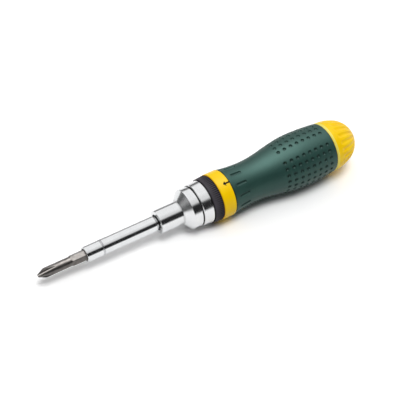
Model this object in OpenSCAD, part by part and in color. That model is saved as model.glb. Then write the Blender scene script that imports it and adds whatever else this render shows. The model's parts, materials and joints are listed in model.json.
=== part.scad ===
// Ratcheting screwdriver: a double-ended bit in a pull-out shaft, a reversing ratchet behind
// a turned nose, and a soft-gripped handle that stores spare bits behind its end cap.
// The tool's axis is +X, from the bit's tip at the origin to the end cap. Millimetres.

/* [Bit] */
// Hexagon of a bit, across its flats
bit_af = 6.35; // [6.2:0.05:6.5]
// Whole length of the double-ended bit in the shaft
bit_len = 70; // [66:1:76]
// Length of bit that stands out of the shaft
bit_reach = 32; // [29:1:36]
// Diameter of the round neck behind each tip
bit_neck_d = 6.1; // [5.6:0.05:6.2]
// Length of the hexagon in the middle of a bit
bit_hex_len = 26; // [22:1:30]
// Length of the four flutes of the cross-head tip
flute_len = 12; // [10:0.5:14]
// Radius of a flute
flute_r = 1.1; // [0.9:0.05:1.2]
// Diameter of the web left between the flutes at the tip
flute_web_d = 1.6; // [1.4:0.1:2]
// Diameter of the blunt end of the cross-head tip
tip_d = 2; // [1.6:0.1:2.4]
// Length of the cross-head tip's cone
tip_cone_len = 4.6; // [4:0.2:6]
// Thickness of the slotted tip at the other end
blade_t = 1; // [0.8:0.1:1.4]
// Length of the slotted tip's taper
blade_len = 9; // [7:0.5:11]

/* [Shaft] */
// Diameter of the bit-holding shaft
shaft_d = 10.2; // [10:0.1:11]
// Length of shaft that stands out of the nose
shaft_len = 51; // [46:1:60]
// Diameter of the undercut where the shaft enters the nose
undercut_d = 8.4; // [8:0.1:9.2]
// Length of undercut that shows in front of the nose
undercut_len = 1.8; // [1.2:0.2:3]
// Hexagon shank of the shaft, across its flats
shank_af = 6.35; // [6.2:0.05:6.5]
// Length of the shank
shank_len = 18; // [14:1:20]
// Distance from the shaft's front face to the middle of its spring band
band_setback = 11.4; // [8:0.2:13]
// Width of the spring band that holds the bit
band_w = 1.2; // [1:0.1:1.8]
// Thickness of the spring band
band_t = 0.5; // [0.4:0.05:0.6]
// Diameter of the ball under the spring band
ball_d = 1.28; // [1.2:0.02:1.3]

/* [Nose] */
// Diameter of the nose's slim front sleeve
sleeve_d = 15.7; // [15:0.1:17]
// Length of the front sleeve
sleeve_len = 16; // [13:0.5:20]
// Bore of the lip at the sleeve's mouth
mouth_d = 10.4; // [9.9:0.1:11]
// Depth of the lip at the sleeve's mouth
mouth_depth = 1; // [0.8:0.1:1.5]
// Length of the nose's cone
cone_len = 5; // [4:0.5:7]
// Diameter of the nose's ring behind the cone
ring_d = 27; // [26:0.2:27.6]
// Length of the nose's ring
ring_len = 5.6; // [4.6:0.2:7]

/* [Ratchet] */
// Diameter of the spindle inside the sleeve
spindle_d = 12.8; // [12:0.1:13]
// Diameter of the spindle's main journal
journal_d = 15.8; // [15.4:0.1:16]
// Teeth of the ratchet wheel
gear_teeth = 24; // [20:4:28]
// Diameter over the teeth's tips
gear_tip_d = 14; // [13.8:0.1:14.2]
// Diameter at the teeth's roots
gear_root_d = 12.2; // [12:0.1:12.4]
// Width of the thrust washer's gap between the nose and the housing
washer_gap = 0.8; // [0.6:0.1:1.2]
// Outside diameter of the thrust washer
washer_d = 25.2; // [24:0.2:26]
// Diameter of the housing's bright flange
flange_d = 28.8; // [28.2:0.2:29.4]
// Length of the housing's bright flange
flange_len = 7.2; // [6:0.2:9]
// Diameter of the housing's boss inside the selector
boss_d = 23.7; // [23.2:0.1:24.2]
// Width of a pawl along the tool
pawl_w = 4.7; // [4:0.1:4.8]
// Diameter of a pawl's pivot pin
pin_d = 1.6; // [1.4:0.1:1.8]
// Diameter of the spindle's rear journal
rear_journal_d = 9; // [8:0.2:9.6]
// Thickness of the housing's rear web
web_t = 4; // [3:0.2:5]
// Hexagon tail of the housing inside the handle, across its flats
tail_af = 16.4; // [16:0.2:17]
// Length of the housing's tail
tail_len = 23.6; // [20:0.4:26]
// Thickness of the circlip and its washer
clip_t = 0.9; // [0.7:0.1:1.1]

/* [Selector] */
// Diameter of the selector ring
selector_d = 30.8; // [30.4:0.2:31]
// Length of the selector ring's place
selector_len = 6.8; // [6.6:0.1:7.4]
// Fine ribs around the selector ring
selector_ribs = 72; // [48:6:96]
// Depth of the gaps between the ribs
rib_depth = 0.35; // [0.2:0.05:0.5]
// Turn of the selector either way from the lock position, in degrees
selector_swing = 18; // [15:1:20]

/* [Handle] */
// Diameter of the collar behind the selector
collar_d = 31.2; // [31:0.1:32]
// Length of the collar
collar_len = 8.8; // [7.6:0.2:11]
// Length of the soft grip
grip_len = 78.4; // [77:0.2:84]
// Diameter of the grip next to the collar
grip_front_d = 30.8; // [30.2:0.1:31]
// Diameter of the grip's waist
waist_d = 27.6; // [27.2:0.1:28.6]
// Distance from the grip's front to its waist
waist_at = 17.4; // [15:0.2:20]
// Diameter of the grip's belly
belly_d = 36.7; // [35:0.1:38]
// Distance from the grip's front to its belly
belly_at = 56; // [52:0.5:60]
// Diameter of the grip and of the cap where they meet
cap_d = 34; // [33.4:0.1:34.6]
// Thickness of the soft grip over the core
grip_wall = 2.2; // [1.8:0.1:2.4]
// Turn of the arrow and the bare band from straight up, towards -Y, in degrees
mark_turn = 22; // [0:1:45]
// Length of the arrow on the collar
arrow_len = 4.6; // [4:0.2:7]
// Width of the arrow's head
arrow_w = 3.6; // [3:0.2:4.6]
// Width of the arrow's stem
arrow_stem_w = 1.1; // [0.8:0.1:1.4]
// Depth of the arrow's pocket in the collar
arrow_depth = 0.8; // [0.7:0.1:1]
// Depth of the arrow's face below the collar
arrow_sink = 0.4; // [0.2:0.1:0.5]
// Short grooves around the front of the grip
groove_count = 12; // [8:1:16]
// Width of a groove
groove_w = 2.2; // [1.6:0.1:2.6]
// Length of a groove
groove_len = 6.1; // [5:0.1:9]
// Distance from the grip's front to a groove
groove_start = 4.6; // [4:0.2:6]
// Depth of a groove
groove_depth = 0.8; // [0.5:0.1:1]

/* [Dimples] */
// Rows of dimples around the grip, one of them left out for the bare band
dimple_rows = 24; // [20:2:28]
// Dimples along each row
dimple_columns = 8; // [6:1:8]
// Distance from dimple to dimple along a row
dimple_pitch = 4.7; // [4:0.1:4.8]
// Distance from the grip's front to the first dimple
dimple_start = 40; // [38:0.1:41]
// Diameter of a dimple
dimple_d = 2.2; // [1.8:0.1:2.4]
// Depth of a dimple
dimple_depth = 0.75; // [0.5:0.05:0.9]

/* [Storage] */
// Diameter of the bit chamber in the handle
chamber_d = 19.6; // [19.5:0.1:20]
// Bore of the chamber's mouth, which takes the cap's spigot
chamber_mouth_d = 25.2; // [24.6:0.2:25.6]
// Depth of the chamber's mouth
chamber_mouth_len = 8.6; // [8:0.2:10]
// Thickness of the wall in front of the chamber
divider_t = 3.4; // [2:0.2:4]
// Radius of the circle on which the spare bits stand
bit_circle_r = 5.9; // [5.85:0.05:6]
// Thickness of the fins between the spare bits
fin_t = 1; // [0.8:0.1:1.1]
// Thickness of the magazine's front plate
plate_t = 2; // [1.5:0.1:3]
// Thickness of the magazine's rear plate
rear_plate_t = 4; // [3:0.2:5]

/* [Cap] */
// Length of the domed end cap
cap_len = 22.3; // [20:0.1:26]
// Fullness of the dome: 2 is an ellipse, and more is blunter
dome_fullness = 2.2; // [2:0.1:2.6]
// Wall of the dome
cap_wall = 2.2; // [1.8:0.1:3]
// Wall of the cap's spigot
spigot_wall = 2; // [1.8:0.1:2.2]
// Bevel of the cap's front rim
cap_bevel = 1.4; // [0.8:0.1:1.8]
// Flutes around the dome
cap_flutes = 21; // [15:1:24]
// Depth of a flute
cap_flute_depth = 0.55; // [0.3:0.05:0.8]
// Share of the dome's girth that the flutes take
cap_flute_share = 0.62; // [0.5:0.02:0.7]
// Section of the seal ring on the spigot
seal_d = 1.6; // [1.4:0.1:1.8]

/* [Fits] */
// Radial clearance of a turning fit
run_gap = 0.05; // [0.03:0.01:0.08]
// Clearance of a hexagon or a plug in its socket, on each side
slip_gap = 0.06; // [0.04:0.01:0.1]
// Clearance along the tool between faces that turn past each other
face_gap = 0.12; // [0.08:0.02:0.2]
// Clearance of pieces that are pressed or moulded together
press_gap = 0.02; // [0.01:0.01:0.04]

/* [Hidden] */
$fn = 64;

// Stations along the tool, from the bit's tip. The shaft closes behind the bit, so a bit that is
// too long for it makes it longer.
shaft_floor = 3;
x_shaft = bit_reach;
x_nose = max(x_shaft + shaft_len, bit_len + shaft_floor);
x_cone = x_nose + sleeve_len;
x_ring = x_cone + cone_len;
x_nose_back = x_ring + ring_len;
x_housing = x_nose_back + washer_gap;
x_selector = x_housing + flange_len;
x_collar = x_selector + selector_len;
x_grip = x_collar + collar_len;
x_cap = x_grip + grip_len;
x_end = x_cap + cap_len;

// Straight up and straight down, in degrees from +Y towards +Z
up = 90;
down = 270;

// The bit's hexagon and the flats that follow it lie square to the mark
hex_turn = mark_turn + up - 30;
edge = 0.4;
overcut = 1;

// The shaft's sockets
x_band = x_shaft + band_setback;
socket_floor = bit_len + overcut;
x_spindle = x_nose + mouth_depth;
x_shank_end = x_spindle + shank_len;

// Open rings: the gaps in the spring band, the snap ring and the circlip, in degrees
band_gap = 24;
snap_gap = 40;
clip_gap = 50;

// The ratchet wheel, its windows and its pawls; the turns are in degrees from straight up
wall_t = 1;
boss_r = boss_d / 2;
wheel_bore_r = journal_d / 2 + run_gap;
x_gear = x_selector + wall_t - face_gap;
gear_w = pawl_w + 2 * face_gap;
x_web = x_collar - edge;
tooth = 360 / gear_teeth;
tooth_tip = 1.6;
tooth_root = 5;
pivot_r = (boss_r + wheel_bore_r) / 2;
pivot_turn = 50;
pin_set = 3;
nose_turn = 1.5 * tooth;
nose_lead = 0.85;
nose_lift = 0.07;
nose_r = (gear_tip_d + gear_root_d) / 4 + nose_lift;
tail_turn = 73;
tail_stand = 0.45;
tail_r = boss_r + tail_stand;
pawl_back_r = boss_r - tail_stand;
pawl_belly_r = wheel_bore_r + 0.15;
pawl_rise = 0.36;
cam_gap = 0.14;
cam_run_out = 5;
window_from = 10;
window_to = 82;

// A pawl's outline: points as a share of the way from its belly to its back, and as degrees
// from its nose, its pivot or its tail
nose_half = 1;
nose_shape = [[0, 5.2], [0.45, 4.6], [0.59, -1]];
back_shape = [[0.85, 14], [1, 4], [1, -10]];
tail_toe = 4;
tail_heel = 1;
tail_shape = [[0.94, -2.5]];
belly_shape = [[0.4, -18], [0.06, -6], [0, 6]];
root_shape = [[0, -7]];

// The leaf springs: the arch between the pawls, and the detent under the selector
leaf_t = 0.3;
leaf_w = 3;
x_leaf = x_selector + wall_t + (pawl_w - leaf_w) / 2;
arch_r = 6;
arch_span = 96;
arch_z = boss_r - arch_r - leaf_t;
detent_span = 62;
detent_r = boss_r - 0.6;
bump_r = 0.7;
bump_at = boss_r - 0.15;
notch_r = bump_r + 0.15;

// The spindle's rear end
x_clip_washer = x_web + web_t + face_gap;
x_clip = x_clip_washer + clip_t + face_gap;
clip_rise = 1.2;
clip_groove_depth = 0.8;
clip_groove_d = rear_journal_d - 2 * clip_groove_depth;
stub_len = 1.4;
x_spindle_end = x_clip + clip_t + stub_len;
tail_bore_d = rear_journal_d + 4 * clip_rise;

// The stretch of the dome with flutes and their sloping ends, as shares of its length
flute_from = 0.2;
flute_to = 0.9;
flute_ramp = 0.08;

// The handle's chamber and its plug
x_chamber = x_collar + tail_len + divider_t;
x_mouth = x_cap - chamber_mouth_len;
spigot_d = chamber_mouth_d - 2 * slip_gap;
spigot_bore_d = spigot_d - 2 * (spigot_wall + seal_d / 2);
x_spigot = x_mouth + overcut / 2;
x_seal = (x_spigot + x_cap) / 2;
seal_floor_r = spigot_d / 2 - seal_d + 2 * run_gap;

// The spare bits, which leave some room before the inside of the dome
spare_room = 9.3;
x_spare = x_chamber + overcut;
spare_len = x_end - cap_wall - spare_room - x_spare;

// The magazine
plate_setback = 8;
x_plate = x_chamber + plate_setback;
fin_inset = 1;

// A point at a radius and an angle from +Y towards +Z, seen along the tool
function polar(r, a) = [r * cos(a), r * sin(a)];

// Radius of the grip at a distance from its front: falling to the waist, swelling to the
// belly and easing in to the cap
function grip_r(s) =
  s < waist_at ? (waist_d + (grip_front_d - waist_d) * pow(1 - s / waist_at, 2)) / 2 :
  s < belly_at ? (waist_d + (belly_d - waist_d)
    * (1 - cos(180 * (s - waist_at) / (belly_at - waist_at))) / 2) / 2 :
  (belly_d - (belly_d - cap_d) * pow((s - belly_at) / (grip_len - belly_at), 2)) / 2;

// Radius of a dome of a given length and base at a distance from its base
function dome_r(s, base_d, len) =
  base_d / 2 * pow(max(0, 1 - pow(s / len, dome_fullness)), 1 / dome_fullness);

// Stations along the grip, closest where it bends
function steps(from, to, count) = [for (i = [0 : count - 1]) from + (to - from) * i / count];
grip_steps = concat(steps(0, waist_at, 8), steps(waist_at, belly_at, 16),
  steps(belly_at, grip_len, 8), [grip_len]);
dome_steps = [for (a = [0 : 7.5 : 90]) sin(a)];

// Stands what is drawn about Z on the tool's axis: its X becomes Y, and its Y becomes Z
module on_axis(x = 0) {
  translate([x, 0, 0]) rotate([90, 0, 90]) children();
}

// A turned piece from points of its half section, each a station and a radius
module turned(section) {
  on_axis() rotate_extrude() polygon([for (p = section) [p[1], p[0]]]);
}

// A plain round stretch
module round_bar(from, to, d) {
  on_axis(from) cylinder(h = to - from, d = d);
}

// A hexagon stretch, with flats square to the mark
module hex_bar(from, to, af) {
  on_axis(from) rotate(hex_turn) cylinder(h = to - from, d = af / cos(30), $fn = 6);
}

// A washer or a plain ring
module ring(from, to, d, bore) {
  turned([[from, bore / 2], [to, bore / 2], [to, d / 2], [from, d / 2]]);
}

// An open ring, with its gap at the bottom
module open_ring(from, to, d, bore, gap) {
  on_axis(from) rotate(gap / 2 - 90) rotate_extrude(angle = 360 - gap)
    translate([bore / 2, 0]) square([(d - bore) / 2, to - from]);
}

// A double-ended bit from its cross-head tip at the origin to its slotted tip
module double_bit(len) {
  neck_r = bit_neck_d / 2;
  corner_r = bit_af / 2 / cos(30);
  hex_from = (len - bit_hex_len) / 2;
  hex_to = hex_from + bit_hex_len;
  blade_flat = 0.3 * blade_len;
  lift = neck_r - flute_web_d / 2;
  slope = atan(lift / flute_len);
  difference() {
    union() {
      turned([[0, 0], [0, tip_d / 2], [tip_cone_len, neck_r], [len, neck_r], [len, 0]]);
      intersection() {
        hex_bar(hex_from, hex_to, bit_af);
        turned([[hex_from, 0], [hex_from, neck_r], [hex_from + edge * 2, corner_r],
          [hex_to - edge * 2, corner_r], [hex_to, neck_r], [hex_to, 0]]);
      }
    }
    for (a = [0 : 90 : 270])
      rotate([a + mark_turn, 0, 0])
        translate([0, 0, flute_web_d / 2 + flute_r]) rotate([0, 90 - slope, 0])
          translate([0, 0, -flute_len / 2]) cylinder(h = flute_len * 2, r = flute_r);
    for (side = [0, 180])
      rotate([side + mark_turn, 0, 0])
        translate([0, bit_neck_d, 0]) rotate([90, 0, 0])
          linear_extrude(2 * bit_neck_d)
            polygon([[len - blade_len, neck_r + edge], [len - blade_flat, blade_t / 2],
              [len + overcut, blade_t / 2], [len + overcut, neck_r + edge]]);
  }
}

module drive_bit() {
  color("dimgray") double_bit(bit_len);
}

module bit_holder_shaft() {
  shaft_r = shaft_d / 2;
  band_floor_r = shaft_r - band_t - run_gap * 2;
  band_half = band_w / 2 + run_gap;
  shoulder = x_nose - undercut_len;
  neck_r = undercut_d / 2;
  color("silver") difference() {
    union() {
      turned([[x_shaft, 0], [x_shaft, shaft_r - edge], [x_shaft + edge, shaft_r],
        [x_band - band_half, shaft_r], [x_band - band_half, band_floor_r],
        [x_band + band_half, band_floor_r], [x_band + band_half, shaft_r],
        [shoulder - edge, shaft_r], [shoulder, shaft_r - edge], [shoulder, neck_r],
        [x_spindle - press_gap, neck_r], [x_spindle - press_gap, 0]]);
      intersection() {
        hex_bar(x_nose, x_shank_end, shank_af);
        turned([[x_nose, 0], [x_nose, shank_af], [x_shank_end - edge * 2, shank_af / 2 / cos(30)],
          [x_shank_end, shank_af / 2 - edge], [x_shank_end, 0]]);
      }
    }
    hex_bar(x_shaft - overcut, socket_floor, bit_af + 2 * slip_gap);
    turned([[x_shaft - overcut, 0], [x_shaft - overcut, bit_af / 2 + overcut + edge * 2],
      [x_shaft + edge * 2, bit_af / 2], [x_shaft + edge * 2, 0]]);
    rotate([mark_turn, 0, 0]) translate([x_band, 0, 0])
      cylinder(h = shaft_r, d = ball_d + 2 * run_gap);
  }
}

module bit_spring_band() {
  color("gainsboro")
    open_ring(x_band - band_w / 2, x_band + band_w / 2, shaft_d - 2 * run_gap,
      shaft_d - 2 * band_t - 2 * run_gap, band_gap);
}

module bit_detent_ball() {
  ball_r = shaft_d / 2 - band_t - run_gap - press_gap - ball_d / 2;
  color("lightgray") rotate([mark_turn, 0, 0]) translate([x_band, 0, ball_r]) sphere(d = ball_d);
}

module nose_sleeve() {
  sleeve_r = sleeve_d / 2;
  ring_r = ring_d / 2;
  mouth_r = mouth_d / 2;
  bore_r = spindle_d / 2 + press_gap;
  x_step = x_nose_back - ring_len / 3;
  step_r = journal_d / 2 + press_gap;
  color("gainsboro")
    turned([[x_nose, mouth_r + edge], [x_nose, sleeve_r - edge], [x_nose + edge, sleeve_r],
      [x_cone, sleeve_r], [x_ring - edge, ring_r - edge], [x_ring, ring_r - edge / 4],
      [x_ring + edge, ring_r], [x_nose_back - edge / 2, ring_r],
      [x_nose_back, ring_r - edge / 2], [x_nose_back, step_r], [x_step, step_r],
      [x_step, bore_r], [x_spindle, bore_r], [x_spindle, mouth_r],
      [x_nose + edge, mouth_r]]);
}

// The spindle's outline without its socket: sleeve seat, main journal, wheel and rear journal
module spindle_blank() {
  x_step = x_nose_back - ring_len / 3 + press_gap;
  x_front = x_spindle + press_gap;
  rear_r = rear_journal_d / 2;
  groove_r = clip_groove_d / 2;
  turned([[x_front, 0], [x_front, spindle_d / 2], [x_step, spindle_d / 2],
    [x_step, journal_d / 2], [x_gear, journal_d / 2], [x_gear, gear_root_d / 2 - edge],
    [x_gear + gear_w, gear_root_d / 2 - edge], [x_gear + gear_w, rear_r],
    [x_clip - run_gap, rear_r], [x_clip - run_gap, groove_r],
    [x_clip + clip_t + run_gap, groove_r], [x_clip + clip_t + run_gap, rear_r],
    [x_spindle_end - edge, rear_r], [x_spindle_end, rear_r - edge], [x_spindle_end, 0]]);
}

// The ratchet wheel's teeth, with a gap between teeth at each pawl
module gear_outline() {
  tip_r = gear_tip_d / 2;
  root_r = gear_root_d / 2;
  polygon([for (i = [0 : gear_teeth - 1]) let (a = i * tooth)
    each [polar(root_r, a - tooth_root), polar(tip_r, a - tooth_tip),
      polar(tip_r, a + tooth_tip), polar(root_r, a + tooth_root)]]);
}

module drive_spindle() {
  x_floor = x_shank_end + overcut;
  snap_r = shank_af / 2 / cos(30) + band_t + run_gap * 3;
  x_snap = x_spindle + shank_len / 2;
  color("darkgray") difference() {
    union() {
      spindle_blank();
      on_axis(x_gear) linear_extrude(gear_w) gear_outline();
    }
    hex_bar(x_spindle - overcut, x_floor, shank_af + 2 * slip_gap);
    round_bar(x_snap - band_w / 2 - run_gap, x_snap + band_w / 2 + run_gap, 2 * snap_r);
  }
}

module shank_snap_ring() {
  x_snap = x_spindle + shank_len / 2;
  bore = shank_af / cos(30) + 2 * run_gap;
  color("gainsboro")
    open_ring(x_snap - band_w / 2, x_snap + band_w / 2, bore + 2 * band_t, bore, snap_gap);
}

module thrust_washer() {
  color("saddlebrown")
    ring(x_nose_back + run_gap, x_housing - press_gap, washer_d, journal_d + 6 * run_gap);
}

// A point of a pawl, at a share of the way from its belly to its back and an angle
function pawl_point(share, a) = polar(pawl_belly_r + share * (pawl_back_r - pawl_belly_r), a);

// Points of a pawl from pairs of a share and an angle, about a given angle
function pawl_points(shape, about) = [for (p = shape) pawl_point(p[0], about + p[1])];

// One pawl's outline, on the right of the wheel: nose, back, tail and belly
module pawl_outline() {
  nose = up - nose_turn + nose_lead;
  pivot = up - pivot_turn;
  tail = up - tail_turn;
  difference() {
    polygon(concat([polar(nose_r, nose - nose_half), polar(nose_r, nose + nose_half)],
      pawl_points(nose_shape, nose), pawl_points(back_shape, pivot),
      [polar(tail_r, tail + tail_toe), polar(tail_r, tail - tail_heel)],
      pawl_points(tail_shape, tail), pawl_points(belly_shape, pivot),
      pawl_points(root_shape, nose)));
    translate(polar(pivot_r, pivot)) circle(d = pin_d + 2 * run_gap);
  }
}

// A pawl in its window, between the window's end faces
module pawl() {
  on_axis(x_selector + wall_t) linear_extrude(pawl_w) children();
}

module forward_pawl() {
  color("slategray") pawl() pawl_outline();
}

module reverse_pawl() {
  color("slategray") pawl() mirror([1, 0]) pawl_outline();
}

// The two pawls' pivots, from the depth of their holes to a given station
module at_pivots(to, d) {
  for (side = [-1, 1])
    translate([0, side * pivot_r * sin(pivot_turn), pivot_r * cos(pivot_turn)])
      round_bar(x_selector - pin_set, to, d);
}

module pawl_pins() {
  color("lightgray") at_pivots(x_collar - press_gap, pin_d);
}

// The window of the right pawl, through the boss from the wheel's bore
module pawl_window() {
  far = boss_d;
  polygon([[0, 0], polar(far, window_from), polar(far, (window_from + window_to) / 2),
    polar(far, window_to)]);
}

// The seat of the pawls' arched spring, cut across the top of the boss
module arch_seat() {
  difference() {
    translate([x_leaf - face_gap, -arch_r, arch_r])
      cube([leaf_w + 2 * face_gap, 2 * arch_r, boss_r]);
    translate([0, 0, arch_z])
      round_bar(x_leaf - overcut, x_leaf + leaf_w + overcut, 2 * (arch_r - leaf_t - press_gap));
  }
}

// A curved leaf about the tool's axis, centred at an angle from +Y towards +Z
module leaf(from, to, r, t, middle, span) {
  on_axis(from) rotate(middle - span / 2) rotate_extrude(angle = span)
    translate([r - t, 0]) square([t, to - from]);
}

module ratchet_housing() {
  flange_r = flange_d / 2;
  rear_bore_r = rear_journal_d / 2 + run_gap;
  x_window = x_selector + wall_t - face_gap;
  x_tail_end = x_collar + tail_len - press_gap;
  detent_floor = leaf_t + press_gap + boss_r - detent_r + overcut;
  color("gainsboro") difference() {
    union() {
      turned([[x_housing, wheel_bore_r], [x_housing, flange_r - edge * 2],
        [x_housing + edge, flange_r - edge], [x_selector - edge, flange_r],
        [x_selector, flange_r - edge], [x_selector, boss_r], [x_collar - press_gap, boss_r],
        [x_collar - press_gap, tail_bore_d / 2], [x_web + web_t, tail_bore_d / 2],
        [x_web + web_t, rear_bore_r], [x_web, rear_bore_r], [x_web, wheel_bore_r]]);
      difference() {
        hex_bar(x_collar - edge, x_tail_end, tail_af);
        round_bar(x_collar - overcut, x_tail_end + overcut, tail_bore_d);
      }
    }
    for (side = [0, 1])
      mirror([0, side, 0]) on_axis(x_window) linear_extrude(gear_w) pawl_window();
    at_pivots(x_collar + overcut, pin_d + 2 * press_gap);
    arch_seat();
    leaf(x_leaf - face_gap, x_leaf + leaf_w + face_gap, boss_r + overcut, detent_floor,
      down, detent_span + 2);
  }
}

module pawl_spring() {
  color("lightsteelblue") translate([0, 0, arch_z])
    leaf(x_leaf, x_leaf + leaf_w, arch_r, leaf_t, up, arch_span);
}

module detent_spring() {
  color("lightsteelblue") union() {
    leaf(x_leaf, x_leaf + leaf_w, detent_r, leaf_t, down, detent_span);
    translate([0, 0, -bump_at]) round_bar(x_leaf, x_leaf + leaf_w, 2 * bump_r);
  }
}

module clip_washer() {
  color("silver")
    ring(x_clip_washer, x_clip_washer + clip_t, tail_bore_d - 4 * run_gap,
      rear_journal_d + 4 * run_gap);
}

module spindle_circlip() {
  color("dimgray")
    open_ring(x_clip, x_clip + clip_t, rear_journal_d + 2 * clip_rise,
      clip_groove_d + 2 * run_gap, clip_gap);
}

// The spiral pocket that lifts the right pawl's tail as the selector turns
module cam_outline() {
  tail = up - tail_turn;
  reach = selector_swing + cam_run_out;
  rise = pawl_rise / selector_swing;
  polygon(concat([polar(tail_r / 2, tail - reach), polar(tail_r / 2, tail + reach)],
    [for (a = [reach : -2 : -reach]) polar(tail_r + cam_gap - a * rise, tail + a)]));
}

module selector_ring() {
  front = x_selector + face_gap;
  back = x_collar - face_gap;
  bore_r = boss_r + 2 * run_gap;
  out_r = selector_d / 2;
  x_pocket = x_selector + wall_t - 2 * face_gap;
  pocket_w = pawl_w + 4 * face_gap;
  color("black") difference() {
    turned([[front, bore_r], [front, out_r - edge * 2], [front + edge, out_r - edge],
      [back - edge, out_r], [back, out_r - edge], [back, bore_r]]);
    for (side = [0, 1])
      mirror([0, side, 0]) on_axis(x_pocket) linear_extrude(pocket_w) cam_outline();
    for (a = [-selector_swing, 0, selector_swing])
      rotate([a, 0, 0]) translate([0, 0, -bump_at])
        round_bar(x_pocket, x_pocket + pocket_w, 2 * notch_r);
    for (i = [0 : selector_ribs - 1])
      rotate([i * 360 / selector_ribs, 0, 0]) translate([0, 0, out_r])
        round_bar(front - overcut, back + overcut, 2 * rib_depth);
  }
}

// The arrow's outline, its point towards the selector, from the collar's back
module arrow_outline(gap) {
  head = arrow_w / 2;
  point = x_grip - arrow_len;
  polygon([[point - gap, 0], [point + head, head + gap], [point + head, arrow_stem_w / 2 + gap],
    [x_grip + overcut, arrow_stem_w / 2 + gap], [x_grip + overcut, -arrow_stem_w / 2 - gap],
    [point + head, -arrow_stem_w / 2 - gap], [point + head, -head - gap]]);
}

// The arrow as a block through the collar's skin
module arrow_block(gap) {
  rotate([mark_turn, 0, 0]) translate([0, 0, collar_d / 4])
    linear_extrude(collar_d / 2) arrow_outline(gap);
}

// The core's surface under the soft grip, and the grip's inside
function core_r(s, gap) = grip_r(s) - grip_wall + gap;

module handle_core() {
  collar_r = collar_d / 2;
  inlay_r = collar_r - arrow_depth - press_gap;
  tail = tail_af + 2 * press_gap;
  color("gold") difference() {
    turned(concat([[x_collar, 0], [x_collar, collar_r - edge], [x_collar + edge, collar_r],
      [x_grip - press_gap - edge, collar_r], [x_grip - press_gap, collar_r - edge]],
      [for (s = grip_steps) [x_grip + s - press_gap, core_r(s, -press_gap)]],
      [[x_cap - press_gap, 0]]));
    hex_bar(x_collar - overcut, x_collar + tail_len, tail);
    round_bar(x_chamber, x_cap + overcut, chamber_d);
    round_bar(x_mouth, x_cap + overcut, chamber_mouth_d);
    difference() {
      arrow_block(press_gap);
      round_bar(x_collar, x_grip + overcut, 2 * inlay_r);
    }
  }
}

// Places what follows on the grip's skin, at a distance from its front and an angle
module on_skin(s, a) {
  rotate([a + mark_turn, 0, 0]) translate([x_grip + s, 0, grip_r(s)]) children();
}

module grip_sleeve() {
  dimple_r = (pow(dimple_d / 2, 2) + pow(dimple_depth, 2)) / (2 * dimple_depth);
  groove_end = groove_start + groove_len;
  collar_r = collar_d / 2;
  color("darkslategray") difference() {
    union() {
      turned(concat([for (s = grip_steps) [x_grip + s, grip_r(s)]],
        [for (i = [len(grip_steps) - 1 : -1 : 0])
          [x_grip + grip_steps[i], core_r(grip_steps[i], 0)]]));
      intersection() {
        arrow_block(0);
        ring(x_collar, x_grip + edge, collar_d - 2 * arrow_sink, 2 * (collar_r - arrow_depth));
      }
    }
    for (row = [1 : dimple_rows - 1], column = [0 : dimple_columns - 1])
      on_skin(dimple_start + column * dimple_pitch, row * 360 / dimple_rows)
        translate([0, 0, dimple_r - dimple_depth]) sphere(r = dimple_r);
    for (i = [0 : groove_count - 1])
      rotate([(i + 0.5) * 360 / groove_count + mark_turn, 0, 0])
        translate([x_grip, 0, grip_r(groove_start) + groove_w / 2 - groove_depth])
          rotate([0, 90 + atan((grip_r(groove_start) - grip_r(groove_end)) / groove_len), 0])
            translate([0, 0, groove_start]) {
              cylinder(h = groove_len, d = groove_w);
              sphere(d = groove_w);
              translate([0, 0, groove_len]) sphere(d = groove_w);
            }
  }
}

// The cap's outside, a dome with a bevelled front rim
module cap_shell() {
  inner_len = cap_len - cap_wall;
  inner_d = cap_d - 2 * cap_wall;
  front = x_cap + face_gap;
  x_inner = front + cap_wall;
  bore_r = spigot_bore_d / 2;
  spigot_r = spigot_d / 2;
  seal_half = seal_d / 2 + run_gap;
  turned(concat(
    [[x_spigot, bore_r], [x_spigot, spigot_r - edge], [x_spigot + edge, spigot_r],
      [x_seal - seal_half, spigot_r], [x_seal - seal_half, seal_floor_r],
      [x_seal + seal_half, seal_floor_r], [x_seal + seal_half, spigot_r], [front, spigot_r],
      [front, cap_d / 2 - cap_bevel / 2], [front + cap_bevel, dome_r(cap_bevel, cap_d, cap_len)]],
    [for (t = dome_steps) let (s = t * cap_len)
      if (s > cap_bevel) [x_cap + s, dome_r(s, cap_d, cap_len)]],
    [for (i = [len(dome_steps) - 1 : -1 : 1]) let (s = dome_steps[i] * inner_len)
      if (s > cap_wall) [x_cap + s, dome_r(s, inner_d, inner_len)]],
    [[x_inner, dome_r(cap_wall, inner_d, inner_len)], [x_inner, bore_r]]));
}

// The floor of the cap's flutes, a dome under the outer one with a slope at each end
module flute_floor() {
  from = flute_from * cap_len;
  to = flute_to * cap_len;
  ramp = flute_ramp * cap_len;
  floor_d = cap_d - 2 * cap_flute_depth;
  floor_len = cap_len - cap_flute_depth;
  from_r = dome_r(from, cap_d, cap_len) + press_gap;
  to_r = dome_r(to, cap_d, cap_len) + press_gap;
  turned(concat([[x_cap + from, 0], [x_cap + from, from_r],
    [x_cap + from + ramp, dome_r(from + ramp, floor_d, floor_len)]],
    [for (t = dome_steps) let (s = t * cap_len)
      if (s > from + ramp && s < to - ramp) [x_cap + s, dome_r(s, floor_d, floor_len)]],
    [[x_cap + to - ramp, dome_r(to - ramp, floor_d, floor_len)], [x_cap + to, to_r],
      [x_cap + to, 0]]));
}

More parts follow.
